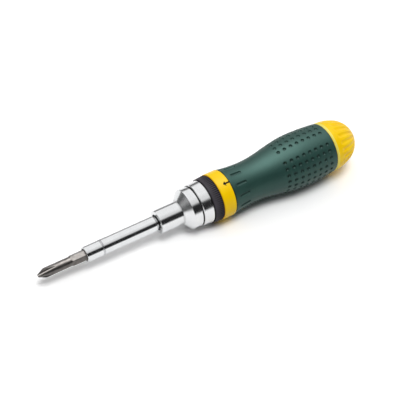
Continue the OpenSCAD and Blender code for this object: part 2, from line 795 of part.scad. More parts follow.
module end_cap() {
  half = cap_flute_share * 180 / cap_flutes;
  color("gold") difference() {
    cap_shell();
    difference() {
      for (i = [0 : cap_flutes - 1])
        rotate([(i + 0.5) * 360 / cap_flutes + mark_turn, 0, 0])
          on_axis(x_cap + flute_from * cap_len)
            linear_extrude((flute_to - flute_from) * cap_len)
              polygon([[0, 0], polar(cap_d, up - half), polar(cap_d, up + half)]);
      flute_floor();
    }
  }
}

module cap_seal() {
  section_r = seal_d / 2 - 2 * run_gap;
  color("black") on_axis(x_seal) rotate_extrude()
    translate([seal_floor_r + press_gap + section_r, 0]) circle(r = section_r);
}

// The places of the spare bits around the chamber's axis
module at_spares() {
  for (a = [45 : 90 : 315])
    translate([0, bit_circle_r * cos(a), bit_circle_r * sin(a)]) children();
}

module bit_magazine() {
  hole = bit_af / cos(30) + 2 * slip_gap;
  plate_d = chamber_d - 4 * slip_gap;
  fin_w = plate_d - 2 * fin_inset;
  color("dimgray") difference() {
    union() {
      ring(x_plate, x_plate + plate_t, plate_d, edge);
      ring(x_spigot, x_spigot + rear_plate_t, spigot_bore_d - 2 * press_gap, edge);
      for (a = [0, 90])
        rotate([a, 0, 0]) translate([x_plate, -fin_t / 2, -fin_w / 2])
          cube([x_spigot - x_plate + rear_plate_t, fin_t, fin_w]);
    }
    at_spares() round_bar(x_plate - overcut, x_spigot + rear_plate_t + overcut, hole);
  }
}

module spare_bits() {
  color("dimgray") at_spares() translate([x_spare, 0, 0])
    rotate([15 - mark_turn, 0, 0]) double_bit(spare_len);
}

drive_bit();
bit_holder_shaft();
bit_spring_band();
bit_detent_ball();
nose_sleeve();
drive_spindle();
shank_snap_ring();
thrust_washer();
ratchet_housing();
forward_pawl();
reverse_pawl();
pawl_pins();
pawl_spring();
detent_spring();
clip_washer();
spindle_circlip();
selector_ring();
handle_core();
grip_sleeve();
end_cap();
cap_seal();
bit_magazine();
spare_bits();
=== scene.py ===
"""The looks of a ratcheting screwdriver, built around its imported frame.

Sizes are in millimetres and angles in degrees until a point is placed, which turns them to metres.
The tool lies along +X. A turn is measured about its axis, from the mark on the collar.
"""

import json
import math

import bmesh
import bpy
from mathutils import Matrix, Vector

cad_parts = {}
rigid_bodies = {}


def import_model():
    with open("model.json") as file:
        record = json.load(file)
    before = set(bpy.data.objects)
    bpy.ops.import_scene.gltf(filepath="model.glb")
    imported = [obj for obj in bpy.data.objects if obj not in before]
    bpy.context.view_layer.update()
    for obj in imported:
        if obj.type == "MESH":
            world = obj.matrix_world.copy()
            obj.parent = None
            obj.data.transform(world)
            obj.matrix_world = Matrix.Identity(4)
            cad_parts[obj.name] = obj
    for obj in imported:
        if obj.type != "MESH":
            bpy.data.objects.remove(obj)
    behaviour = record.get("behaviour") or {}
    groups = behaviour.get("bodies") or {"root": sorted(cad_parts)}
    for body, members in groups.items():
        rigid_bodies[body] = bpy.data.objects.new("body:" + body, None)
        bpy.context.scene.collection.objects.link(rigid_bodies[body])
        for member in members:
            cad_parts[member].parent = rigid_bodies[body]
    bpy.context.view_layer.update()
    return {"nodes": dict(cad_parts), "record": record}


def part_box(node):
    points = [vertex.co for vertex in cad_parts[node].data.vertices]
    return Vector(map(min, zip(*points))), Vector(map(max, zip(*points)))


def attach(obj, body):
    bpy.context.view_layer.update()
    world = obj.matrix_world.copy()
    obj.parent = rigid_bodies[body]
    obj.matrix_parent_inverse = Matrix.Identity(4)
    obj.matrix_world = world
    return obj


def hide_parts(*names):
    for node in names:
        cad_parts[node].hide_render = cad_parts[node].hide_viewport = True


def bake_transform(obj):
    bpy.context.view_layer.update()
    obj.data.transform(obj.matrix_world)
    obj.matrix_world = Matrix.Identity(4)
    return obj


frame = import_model()

MM = 0.001
MARK_TURN = 22

# Fineness of the meshes
SEGMENTS = 144
ROUND_STEPS = 5
ROUND_LIMIT = 0.48
WELD = 0.0004
SLIVER = 0.0002
SHARP_ANGLE = 32
GRIP_SHARP_ANGLE = 50
CAP_SHARP_ANGLE = 24

# Stations that the frame gives


def box_mm(node):
    """The low and the high corner of a node."""
    low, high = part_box(node)
    return low / MM, high / MM


shaft_low, shaft_high = box_mm("bit_holder_shaft")
nose_low, nose_high = box_mm("nose_sleeve")
band_low, band_high = box_mm("bit_spring_band")
cap_low, cap_high = box_mm("end_cap")
x_bit_end = box_mm("drive_bit")[1].x
x_collar = box_mm("handle_core")[0].x
x_cap = box_mm("grip_sleeve")[1].x

# Sizes of the bit
BIT_AF = 6.35
BIT_NECK_R = 3.05
BIT_HEX_LEN = 26
HEX_CORNER_CUT = 0.08
HEX_EDGE_LEN = 0.35
HEX_EDGE_RISE = 0.22
HEX_BEVEL_LEN = 0.9
NECK_MARGIN = 1.2
TIP_R = 1.0
TIP_CONE_LEN = 4.6
TIP_RINGS = 36
FLUTE_LEN = 12
FLUTE_RUNOUT = 0.8
FLUTE_R = 1.1
FLUTE_WEB_R = 0.8
FLUTE_LEAST_TURN = 7
FLUTE_STEPS = 20
WING_STEPS = 12
BLADE_LEN = 9
BLADE_FLAT = 2.7
BLADE_HALF = 0.5
BLADE_RINGS = 8

# Sizes of the shaft
SHAFT_R = 5.1
SHAFT_FRONT_ROUND = 0.45
SHOULDER_ROUND = 0.5
SOCKET_AF = 6.47
SOCKET_FLOOR = 71
SOCKET_SINK = 0.8
SINK_RINGS = 5
BAND_FLOOR_R = 4.5
BAND_PLAY = 0.05
BAND_EDGE_ROUND = 0.08
UNDERCUT_R = 4.2
UNDERCUT_LEN = 1.8
UNDERCUT_ROUND = 0.2
SHANK_AF = 6.35
SHANK_RIM = 0.6
SHANK_PLAY = 0.02
SHANK_BEVEL_LEN = 0.8
SHANK_BEVEL = 0.4

# Sizes of the nose
SLEEVE_R = 7.85
SLEEVE_LEN = 16
SLEEVE_ROUND = 0.45
CONE_LEN = 5
CONE_FOOT_ROUND = 0.4
CONE_TOP_ROUND = 0.55
RING_BACK_ROUND = 0.25
MOUTH_R = 5.2
MOUTH_DEPTH = 1
MOUTH_ROUND = 0.3
SPINDLE_R = 6.42
STEP_R = 7.92
STEP_LEN = 1.87

# Sizes of the arched spring
ARCH_R = 6
ARCH_SPAN = 96
ARCH_STEPS = 16
LEAF_T = 0.3

# Sizes of the grip
GRIP_LEN = 78.4
GRIP_FRONT_R = 15.4
WAIST_R = 13.8
WAIST_AT = 17.4
BELLY_R = 18.35
BELLY_AT = 56
GRIP_WALL = 2.2
GRIP_SEAM = 0.3
GRIP_END_ROUND = 0.9
GRIP_END_LEN = 1.3
GROOVES = 12
GROOVE_R = 1.1
GROOVE_DEPTH = 0.8
GROOVE_HALF = math.sqrt(GROOVE_R**2 - (GROOVE_R - GROOVE_DEPTH) ** 2)
GROOVE_START = 4.6
GROOVE_LEN = 6.1
GROOVE_MARGIN = 2.2
GROOVE_CELL_STEPS = 14
DIMPLE_ROWS = 24
DIMPLE_COLUMNS = 8
DIMPLE_PITCH = 4.7
DIMPLE_START = 40
DIMPLE_R = 1.25
DIMPLE_DEPTH = 1.0
DIMPLE_CELL_STEPS = 8
HOLLOW_SHARES = (1.4, 1.12, 1.0, 0.94, 0.82, 0.62, 0.36, 0.0)
HOLLOW_LIP = 0.02
HOLLOW_LIP_END = 1.01
WAIST_RINGS = 24
GRIP_BACK_RINGS = 3
GRIP_INSIDE_RINGS = 24
GRIP_AROUND = DIMPLE_ROWS * DIMPLE_CELL_STEPS
SLOPE_STEP = 0.05

# Distances from the grip's front
s_grooves_end = GROOVE_START + GROOVE_LEN + GROOVE_MARGIN
s_field = DIMPLE_START - DIMPLE_PITCH / 2
s_field_end = s_field + DIMPLE_COLUMNS * DIMPLE_PITCH
s_back = GRIP_LEN - GRIP_END_LEN
x_grip = x_cap - GRIP_LEN

# Sizes of the collar and its arrow
COLLAR_R = 15.6
ARROW_LEN = 4.6
ARROW_HALF = 1.8
ARROW_POINT_HALF = 0.02
ARROW_BARB_LEN = 0.05
ARROW_STEM_HALF = 0.55
ARROW_ROOT = 0.9
ARROW_SINK = 0.4
ARROW_T = 0.35
ARROW_ROWS = 6
ARROW_COLUMNS = 8

# Sizes of the end cap
CAP_R = 17
CAP_LEN = cap_high.x - x_cap
CAP_WALL = 2.2
CAP_GAP = 0.12
CAP_BEVEL = 1.4
CAP_EDGE_ROUND = 0.3
CAP_EDGE_MARGIN = 0.05
DOME_FULLNESS = 2.2
DOME_ANGLES = range(5, 90)
DOME_INSIDE_ANGLES = range(7, 91)
DOME_SLOPE_STEP = 0.02
CAP_FLUTES = 21
CAP_FLUTE_DEPTH = 0.55
CAP_FLUTE_SHARE = 0.62
CAP_FLUTE_STEPS = 18
SPIGOT_R = 12.54
SPIGOT_ROUND = 0.4
SPIGOT_BORE_R = 9.74
SEAL_FLOOR_R = 11.04
SEAL_HALF = 0.85

# Shares of the cap's length between which its flutes rise and fall
CAP_FLUTE_RISE = (0.19, 0.3)
CAP_FLUTE_FALL = (0.92, 0.8)


# Mesh helpers


def place(x, r, turn):
    """A point of the tool in metres, from a station, a radius and a turn from the mark."""
    a = math.radians(turn + MARK_TURN)
    return Vector((x, -r * math.sin(a), r * math.cos(a))) * MM


def between(low, high, count):
    """Even steps from one value to another, with both ends."""
    return [low + (high - low) * i / count for i in range(count + 1)]


def turns(count):
    """Even turns round the tool."""
    return [360 * i / count for i in range(count)]


def circle(x, r, angles):
    """A round ring of points, or as many copies of one point where its radius is nil."""
    return [place(x, r, a) for a in angles]


def hexagon(af, turn):
    """Radius of a hexagon with a flat at the mark."""
    return af / 2 / math.cos(math.radians((turn + 30) % 60 - 30))


def hex_corner(af):
    """Radius to which a hexagon's corners are cut back."""
    return hexagon(af, 30) - HEX_CORNER_CUT


def hex_ring(x, af, angles, limit=math.inf):
    """A ring of points on a hexagon, with its corners cut back to a radius."""
    return [place(x, min(hexagon(af, a), limit), a) for a in angles]


def rounded(corners, loop=False):
    """Points of an outline of corners (x, r, radius), each rounded to its radius."""
    points = []
    last = len(corners) - 1
    for i, (x, r, radius) in enumerate(corners):
        here = Vector((x, r))
        if radius == 0 or (not loop and i in (0, last)):
            points.append(here)
            continue
        back = Vector(corners[i - 1][:2]) - here
        ahead = Vector(corners[(i + 1) % len(corners)][:2]) - here
        half = back.angle(ahead) / 2
        reach = min(
            radius / math.tan(half), back.length * ROUND_LIMIT, ahead.length * ROUND_LIMIT
        )
        start = here + back.normalized() * reach
        end = here + ahead.normalized() * reach
        for t in between(0, 1, ROUND_STEPS):
            points.append(start * (1 - t) ** 2 + here * 2 * t * (1 - t) + end * t**2)
    return points


def join_rows(shape, rows):
    """Quads between rows of points that have the same count."""
    made = [[shape.verts.new(p) for p in row] for row in rows]
    faces = []
    for near, far in zip(made, made[1:]):
        for i in range(len(near) - 1):
            faces.append(shape.faces.new((near[i], near[i + 1], far[i + 1], far[i])))
    return faces


def join_rings(shape, rings, loop=False):
    """Quads between rings of points, and from the last ring to the first in a loop."""
    rows = [ring + ring[:1] for ring in rings]
    return join_rows(shape, rows + rows[:1] if loop else rows)


def mesh_object(name, shape, sharp=SHARP_ANGLE):
    """A linked object from a bmesh, welded, with smooth faces and sharp edges by angle."""
    bmesh.ops.remove_doubles(shape, verts=shape.verts, dist=WELD * MM)
    bmesh.ops.dissolve_degenerate(shape, edges=shape.edges, dist=SLIVER * MM)
    bmesh.ops.recalc_face_normals(shape, faces=shape.faces)
    mesh = bpy.data.meshes.new(name)
    shape.to_mesh(mesh)
    shape.free()
    mesh.shade_smooth()
    mesh.set_sharp_from_angle(angle=math.radians(sharp))
    made = bpy.data.objects.new(name, mesh)
    bpy.context.scene.collection.objects.link(made)
    weigh = made.modifiers.new("even_shading", "WEIGHTED_NORMAL")
    weigh.keep_sharp = True
    return made


# Node helpers

NOISE_LOW = 0.3
NOISE_HIGH = 0.7

# A Mix node's colour sockets, which it has beside those for numbers and vectors
MIX_FIRST = 6
MIX_SECOND = 7
MIX_RESULT = 2


def add(tree, kind, inputs=None, **settings):
    """A shader node with its settings, and its inputs set or linked."""
    made = tree.nodes.new(kind)
    for name, value in settings.items():
        setattr(made, name, value)
    for name, value in (inputs or {}).items():
        if isinstance(value, bpy.types.NodeSocket):
            tree.links.new(value, made.inputs[name])
        else:
            made.inputs[name].default_value = value
    return made


def compute(tree, operation, *values):
    """The result of a maths node."""
    return add(tree, "ShaderNodeMath", dict(enumerate(values)), operation=operation).outputs[0]


def mix(tree, share, first, second):
    """A colour between two, by a share."""
    inputs = {0: share, MIX_FIRST: first, MIX_SECOND: second}
    return add(tree, "ShaderNodeMix", inputs, data_type="RGBA").outputs[MIX_RESULT]


def noise(tree, where, size, detail, rough=0.5):
    """Noise with features of about a size in millimetres."""
    inputs = {"Vector": where, "Scale": 1 / (size * MM), "Detail": detail, "Roughness": rough}
    return add(tree, "ShaderNodeTexNoise", inputs).outputs["Fac"]


def streaks(tree, where, stretch, size, detail):
    """Noise that is drawn out along an axis where its coordinates are stretched less."""
    inputs = {"Vector": where, "Scale": stretch}
    drawn = add(tree, "ShaderNodeMapping", inputs).outputs["Vector"]
    return noise(tree, drawn, size, detail)


def spread(tree, value, low, high):
    """A noise value spread between two levels."""
    inputs = {
        "Value": value,
        "From Min": NOISE_LOW,
        "From Max": NOISE_HIGH,
        "To Min": low,
        "To Max": high,
    }
    return add(tree, "ShaderNodeMapRange", inputs).outputs["Result"]


def tinted(tree, value, dark, light):
    """A colour between two, by a noise value."""
    ramp = add(tree, "ShaderNodeValToRGB", {"Fac": value})
    ends = ((NOISE_LOW, dark), (NOISE_HIGH, light))
    for stop, (position, colour) in zip(ramp.color_ramp.elements, ends):
        stop.position = position
        stop.color = (*colour, 1)
    return ramp.outputs["Color"]


def bump(tree, height, strength, depth):
    """A bump of a depth in millimetres."""
    inputs = {"Height": height, "Strength": strength, "Distance": depth * MM}
    return add(tree, "ShaderNodeBump", inputs).outputs["Normal"]


def painted_hollow_shade(tree, colour, reach, deep=(0, 0, 0), shade_power=3.0):
    """Painted shade: a colour that turns to a deep one in hollows, within a reach in millimetres.
    """
    open_share = add(tree, "ShaderNodeAmbientOcclusion", {"Distance": reach * MM}).outputs["AO"]
    return mix(tree, compute(tree, "POWER", open_share, shade_power), (*deep, 1), colour)


def empty_tree(owner):
    """The node tree of a new material or world."""
    owner.use_nodes = True
    owner.node_tree.nodes.clear()
    return owner.node_tree


def coordinates(tree, kind):
    return add(tree, "ShaderNodeTexCoord").outputs[kind]


def show(tree, kind, inputs):
    """Gives a material's tree its shader."""
    shader = add(tree, kind, inputs)
    add(tree, "ShaderNodeOutputMaterial", {"Surface": shader.outputs[0]})


# Materials


def chrome(name):
    """Bright plating with faint turning marks and smears, and painted shade in its recesses."""
    material = bpy.data.materials.new(name)
    tree = empty_tree(material)
    where = coordinates(tree, "Object")
    rings = streaks(tree, where, stretch=(1, 0.02, 0.02), size=0.25, detail=3)
    smear = noise(tree, where, size=6, detail=3)
    plating = tinted(tree, smear, dark=(0.79, 0.80, 0.81), light=(0.84, 0.85, 0.86))
    inputs = {
        "Metallic": 1,
        # The plating darkens in grooves and recesses: painted shade.
        "Base Color": painted_hollow_shade(tree, plating, reach=1.6),
        "Roughness": spread(tree, smear, low=0.14, high=0.19),
        "Normal": bump(tree, rings, strength=0.06, depth=0.01),
    }
    show(tree, "ShaderNodeBsdfPrincipled", inputs)
    return material


def steel(name, dark, light, rough, grain):
    """Bare steel with fine grain along the tool and a blotchy tint."""
    material = bpy.data.materials.new(name)
    tree = empty_tree(material)
    where = coordinates(tree, "Object")
    grains = streaks(tree, where, stretch=(0.25, 1, 1), size=grain, detail=4)
    blotches = noise(tree, where, size=2.5, detail=4)
    inputs = {
        "Metallic": 1,
        "Base Color": tinted(tree, blotches, dark, light),
        "Roughness": spread(tree, grains, *rough),
        "Normal": bump(tree, grains, strength=0.25, depth=0.012),
    }
    show(tree, "ShaderNodeBsdfPrincipled", inputs)
    return material


def moulding(
    name,
    dark,
    light,
    rough,
    grain,
    relief,
    gloss=0.5,
    sheen=(1, 1, 1),
    reach=1.8,
    deep=(0, 0, 0),
    shade_power=3.0,
):
    """A moulded plastic or rubber with a fine spark-eroded grain, and painted shade in its hollows.
    """
    material = bpy.data.materials.new(name)
    tree = empty_tree(material)
    where = coordinates(tree, "Object")
    grains = noise(tree, where, size=grain, detail=3, rough=0.6)
    clouds = noise(tree, where, size=9, detail=3)
    inputs = {
        # The base colour darkens in hollows: painted shade.
        "Base Color": painted_hollow_shade(tree, tinted(tree, clouds, dark, light), reach, deep, shade_power),
        "Roughness": spread(tree, grains, *rough),
        "Normal": bump(tree, grains, strength=relief, depth=0.03),
        "IOR": 1.48,
        "Specular IOR Level": gloss,
        "Specular Tint": (*sheen, 1),
    }
    show(tree, "ShaderNodeBsdfPrincipled", inputs)
    return material


def grey(level):
    return (level, level, level)


STEELS = {
    "bit_steel": dict(
        dark=(0.12, 0.112, 0.106),
        light=(0.18, 0.17, 0.162),
        rough=(0.3, 0.4),
        grain=0.12,
    ),
    "spring_steel": dict(
        dark=(0.50, 0.50, 0.52),
        light=(0.62, 0.63, 0.65),
        rough=(0.18, 0.3),
        grain=0.2,
    ),
    "tool_steel": dict(
        dark=(0.36, 0.36, 0.38),
        light=(0.48, 0.48, 0.5),
        rough=(0.25, 0.4),
        grain=0.2,
    ),
}
MOULDINGS = {
    "washer_acetal": dict(
        dark=grey(0.012),
        light=grey(0.02),
        rough=(0.4, 0.5),
        grain=0.12,
        relief=0.1,
    ),
    # A lighter base that turns near black between the ribs: painted shade that brings the ribs out.
    "selector_plastic": dict(
        dark=(0.056, 0.051, 0.060),
        light=(0.070, 0.064, 0.075),
        rough=(0.4, 0.5),
        grain=0.12,
        relief=0.15,
        gloss=0.05,
        shade_power=8.0,
    ),
    # Deep orange in the cap's flutes and at its seam is painted shade.
    "yellow_plastic": dict(
        dark=(0.98, 0.61, 0.0),
        light=(1.0, 0.67, 0.001),
        rough=(0.3, 0.38),
        grain=0.18,
        relief=0.06,
        gloss=0.22,
        reach=0.8,
        deep=(0.72, 0.24, 0.0),
        shade_power=5.0,
    ),
    # Darkens to black in its dimples and grooves: painted shade.
    "green_rubber": dict(
        dark=(0.0075, 0.031, 0.0255),
        light=(0.0095, 0.038, 0.031),
        rough=(0.44, 0.53),
        grain=0.16,
        relief=0.2,
        gloss=0.8,
        sheen=(0.55, 0.95, 0.85),
    ),
    "seal_rubber": dict(
        dark=grey(0.012),
        light=grey(0.02),
        rough=(0.45, 0.6),
        grain=0.12,
        relief=0.15,
    ),
    "magazine_plastic": dict(
        dark=grey(0.03),
        light=grey(0.045),
        rough=(0.4, 0.55),
        grain=0.14,
        relief=0.15,
    ),
    "mark_rubber": dict(
        dark=(0.003, 0.010, 0.008),
        light=(0.004, 0.013, 0.010),
        rough=(0.5, 0.6),
        grain=0.16,
        relief=0.2,
        gloss=0.1,
    ),
    # A paler yellow for the cap's front bevel: a painted highlight, with a faint painted shade at
    # the seam.
    "painted_highlight_edge": dict(
        dark=(1.0, 0.82, 0.13),
        light=(1.0, 0.86, 0.17),
        rough=(0.3, 0.38),
        grain=0.18,
        relief=0.06,
        gloss=0.22,
        reach=0.2,
        deep=(0.72, 0.24, 0.0),
        shade_power=1.0,
    ),
}
surfaces = {"chrome": chrome("chrome")}
surfaces.update({name: steel(name, **look) for name, look in STEELS.items()})
surfaces.update({name: moulding(name, **look) for name, look in MOULDINGS.items()})

# Place of a piece's second material: the arrow's dark mark, and the painted highlight on the cap's
# front edge
MARK_AND_HIGHLIGHT_SLOT = 1

slot_of = {s["node"]: s["material_slot"] for s in frame["record"]["subparts"]}
body_of = {
    n: body for body, nodes in frame["record"]["behaviour"]["bodies"].items() for n in nodes
}


def dress(piece, node):
    """A made piece takes the place, the body and the finish of the node that it stands for."""
    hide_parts(node)
    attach(piece, body_of[node])
    piece.data.materials.append(surfaces[slot_of[node]])


# The bit


def flute_distance(x):
    """Distance of a flute's middle from the axis."""
    return FLUTE_WEB_R + FLUTE_R + (BIT_NECK_R - FLUTE_WEB_R) * x / FLUTE_LEN


def tip_radius(x):
    """Radius of the tip's outside."""
    return TIP_R + (BIT_NECK_R - TIP_R) * min(1, x / TIP_CONE_LEN)


def flute_half_turn(x):
    """Half the angle that a flute takes of the tip's outside."""
    far, outside = flute_distance(x), tip_radius(x)
    cosine = (outside**2 + far**2 - FLUTE_R**2) / (2 * outside * far)
    return max(FLUTE_LEAST_TURN, math.degrees(math.acos(min(1, cosine))))


def tip_ring(x):
    """A section of the cross-head tip, with points on the edges of its flutes."""
    far, outside, half = flute_distance(x), tip_radius(x), flute_half_turn(x)
    ring = []
    for middle in turns(4):
        for off in between(-half, half, FLUTE_STEPS)[:-1]:
            across = far * math.sin(math.radians(off))
            depth = far * math.cos(math.radians(off)) - math.sqrt(max(0, FLUTE_R**2 - across**2))
            ring.append(place(x, min(outside, depth), middle + off))
        for off in between(half, 90 - half, WING_STEPS)[:-1]:
            ring.append(place(x, outside, middle + off))
    return ring


def blade_ring(x, half, angles):
    """A section of the slotted end: a circle cut to two flats."""
    ring = []
    for a in angles:
        rise = abs(math.cos(math.radians(a)))
        ring.append(place(x, half / rise if half < BIT_NECK_R * rise else BIT_NECK_R, a))
    return ring


def make_bit():
    """The bit, with rings whose points start where those of the tip's flutes do."""
    quarter_steps = FLUTE_STEPS + WING_STEPS
    first = -90 * FLUTE_STEPS / 2 / quarter_steps
    angles = [first + a for a in turns(4 * quarter_steps)]
    hex_from = (x_bit_end - BIT_HEX_LEN) / 2
    hex_to = hex_from + BIT_HEX_LEN
    x_blade = x_bit_end - BLADE_LEN
    edge_r, corner_r = BIT_NECK_R + HEX_EDGE_RISE, hex_corner(BIT_AF)
    front_neck = (FLUTE_LEN + FLUTE_RUNOUT, hex_from - NECK_MARGIN, hex_from)
    hex_part = [
        (hex_from + HEX_EDGE_LEN, edge_r),
        (hex_from + HEX_BEVEL_LEN, corner_r),
        (hex_to - HEX_BEVEL_LEN, corner_r),
        (hex_to - HEX_EDGE_LEN, edge_r),
    ]
    blade_x = between(x_blade, x_bit_end - BLADE_FLAT, BLADE_RINGS)
    blade_half = between(BIT_NECK_R, BLADE_HALF, BLADE_RINGS)
    rings = [circle(0, 0, angles)]
    rings += [tip_ring(x) for x in between(0, FLUTE_LEN, TIP_RINGS)]
    rings += [circle(x, BIT_NECK_R, angles) for x in front_neck]
    rings += [hex_ring(x, BIT_AF, angles, limit) for x, limit in hex_part]
    rings += [circle(x, BIT_NECK_R, angles) for x in (hex_to, x_blade)]
    rings += [blade_ring(x, half, angles) for x, half in zip(blade_x[1:], blade_half[1:])]
    rings += [blade_ring(x_bit_end, BLADE_HALF, angles), circle(x_bit_end, 0, angles)]
    shape = bmesh.new()
    join_rings(shape, rings)
    dress(mesh_object("cross_head_bit", shape), "drive_bit")


# The shaft, the nose and the arched spring


def make_shaft():
    """The shaft from the floor of its socket, over its outside, to the end of its shank."""
    x_front, x_back = shaft_low.x, shaft_high.x
    x_shoulder = nose_low.x - UNDERCUT_LEN
    x_seat = nose_low.x + MOUTH_DEPTH - SHANK_PLAY
    groove_from, groove_to = band_low.x - BAND_PLAY, band_high.x + BAND_PLAY
    sink_r = BIT_AF / 2 + SOCKET_SINK
    outside = rounded(
        [
            (x_front, sink_r, 0),
            (x_front, SHAFT_R, SHAFT_FRONT_ROUND),
            (groove_from, SHAFT_R, BAND_EDGE_ROUND),
            (groove_from, BAND_FLOOR_R, 0),
            (groove_to, BAND_FLOOR_R, 0),
            (groove_to, SHAFT_R, BAND_EDGE_ROUND),
            (x_shoulder, SHAFT_R, SHOULDER_ROUND),
            (x_shoulder, UNDERCUT_R, 0),
            (x_seat, UNDERCUT_R, UNDERCUT_ROUND),
            (x_seat, SHANK_AF / 2 + SHANK_RIM, 0),
        ]
    )
    shank = [
        (x_seat, hex_corner(SHANK_AF)),
        (x_back - SHANK_BEVEL_LEN, hex_corner(SHANK_AF)),
        (x_back, SHANK_AF / 2 - SHANK_BEVEL),
    ]
    angles = turns(SEGMENTS)
    rings = [circle(SOCKET_FLOOR, 0, angles), hex_ring(SOCKET_FLOOR, SOCKET_AF, angles)]
    for depth in between(SOCKET_SINK, 0, SINK_RINGS)[:-1]:
        wide = sink_r - depth
        rings.append([place(x_front + depth, max(hexagon(SOCKET_AF, a), wide), a) for a in angles])
    rings += [circle(x, r, angles) for x, r in outside]
    rings += [hex_ring(x, SHANK_AF, angles, limit) for x, limit in shank]
    rings.append(circle(x_back, 0, angles))
    shape = bmesh.new()
    join_rings(shape, rings)
    dress(mesh_object("bit_shaft", shape), "bit_holder_shaft")


def make_nose():
    """The nose: a sleeve, a cone and a ring, turned as one piece."""
    x_front, x_back = nose_low.x, nose_high.x
    x_cone = x_front + SLEEVE_LEN
    x_ring = x_cone + CONE_LEN
    x_step = x_back - STEP_LEN
    x_seat = x_front + MOUTH_DEPTH
    ring_r = nose_high.y
    section = rounded(
        [
            (x_front, MOUTH_R, MOUTH_ROUND),
            (x_front, SLEEVE_R, SLEEVE_ROUND),
            (x_cone, SLEEVE_R, CONE_FOOT_ROUND),
            (x_ring, ring_r, CONE_TOP_ROUND),
            (x_back, ring_r, RING_BACK_ROUND),
            (x_back, STEP_R, 0),
            (x_step, STEP_R, 0),
            (x_step, SPINDLE_R, 0),
            (x_seat, SPINDLE_R, 0),
            (x_seat, MOUTH_R, 0),
        ],
        loop=True,
    )
    shape = bmesh.new()
    join_rings(shape, [circle(x, r, turns(SEGMENTS)) for x, r in section], loop=True)
    dress(mesh_object("nose", shape), "nose_sleeve")


def make_spring():
    """The arched spring in two halves, one for each pawl that it presses on."""
    low, high = box_mm("pawl_spring")
    z_middle = high.z - ARCH_R
    inner_r = ARCH_R - LEAF_T
    section = [(low.x, ARCH_R), (high.x, ARCH_R), (high.x, inner_r), (low.x, inner_r)]
    for side, pawl in ((1, "forward_pawl"), (-1, "reverse_pawl")):
        rings = []
        for a in between(0, math.radians(ARCH_SPAN / 2), ARCH_STEPS):
            across, up = side * math.sin(a), math.cos(a)
            rings.append([Vector((x, r * across, z_middle + r * up)) * MM for x, r in section])
        shape = bmesh.new()
        join_rings(shape, rings)
        for ring in (rings[0], rings[-1]):
            shape.faces.new([shape.verts.new(p) for p in ring])
        half = mesh_object(f"spring_at_{pawl}", shape)
        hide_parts("pawl_spring")
        half.data.materials.append(surfaces[slot_of["pawl_spring"]])
        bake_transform(half)


# The grip


def grip_radius(s):
    """Radius of the grip at a distance from its front."""
    if s < WAIST_AT:
        return WAIST_R + (GRIP_FRONT_R - WAIST_R) * (1 - s / WAIST_AT) ** 2
    if s < BELLY_AT:
        swell = (1 - math.cos(math.pi * (s - WAIST_AT) / (BELLY_AT - WAIST_AT))) / 2
        return WAIST_R + (BELLY_R - WAIST_R) * swell
    return BELLY_R - (BELLY_R - CAP_R) * ((s - BELLY_AT) / (GRIP_LEN - BELLY_AT)) ** 2


def skin_point(s, turn, depth=0.0):
    """A point at a depth square under the grip's skin."""
    slope = (grip_radius(s + SLOPE_STEP) - grip_radius(s - SLOPE_STEP)) / (2 * SLOPE_STEP)
    lean = math.sqrt(1 + slope**2)
    return place(x_grip + s + depth * slope / lean, grip_radius(s) - depth / lean, turn)


def plain_skin(shape, stations):
    """Skin without hollows, all round the grip."""
    join_rings(shape, [[skin_point(s, a) for a in turns(GRIP_AROUND)] for s in stations])


def cell_border(low, high, s_steps, turn_steps):
    """Points (distance, turn) round a cell of the skin."""
    (s0, t0), (s1, t1) = low, high
    border = [(s0, t) for t in between(t0, t1, turn_steps)[:-1]]
    border += [(s, t1) for s in between(s0, s1, s_steps)[:-1]]
    border += [(s1, t) for t in between(t1, t0, turn_steps)[:-1]]
    border += [(s, t0) for s in between(s1, s0, s_steps)[:-1]]
    return border


def hollow_depth(distance, half, deep):
    """Depth of a round hollow at a distance from its middle, with a small lip at its edge."""
    if distance < half:
        ball = (half**2 + deep**2) / (2 * deep)
        return math.sqrt(ball**2 - distance**2) - (ball - deep)
    return HOLLOW_LIP if distance < half * HOLLOW_LIP_END else 0.0


def hollow_cell(shape, border, spine, middle, half, deep):
    """A cell of the skin with a hollow along a spine: a dimple or a groove."""
    scale = grip_radius(sum(spine) / 2)
    spokes = []
    for s, t in border:
        foot = min(max(s, spine[0]), spine[1])
        along, across = s - foot, math.radians(t - middle) * scale
        spokes.append((foot, along, across, math.hypot(along, across)))

    def ring(distances, depth):
        """Points at distances from the spine, on the way from it to the border."""
        points = []
        for (foot, along, across, length), distance in zip(spokes, distances):
            reach = distance / length
            turn = middle + math.degrees(across * reach / scale)
            points.append(skin_point(foot + along * reach, turn, depth))
        return points

    outermost = HOLLOW_SHARES[0] * half
    rings = [[skin_point(s, t) for s, t in border]]
    rings.append(ring([(length + outermost) / 2 for *_, length in spokes], 0.0))
    for share in HOLLOW_SHARES:
        distance = share * half
        rings.append(ring([distance] * len(spokes), hollow_depth(distance, half, deep)))
    join_rings(shape, rings)


def add_grooves(shape):
    """The short grooves round the grip's front."""
    pitch = 360 / GROOVES
    spine = (GROOVE_START, GROOVE_START + GROOVE_LEN)
    for i in range(GROOVES):
        low, high = (GRIP_END_LEN, pitch * i), (s_grooves_end, pitch * (i + 1))
        border = cell_border(low, high, GROOVE_CELL_STEPS, GRIP_AROUND // GROOVES)
        hollow_cell(shape, border, spine, pitch * (i + 0.5), GROOVE_HALF, GROOVE_DEPTH)


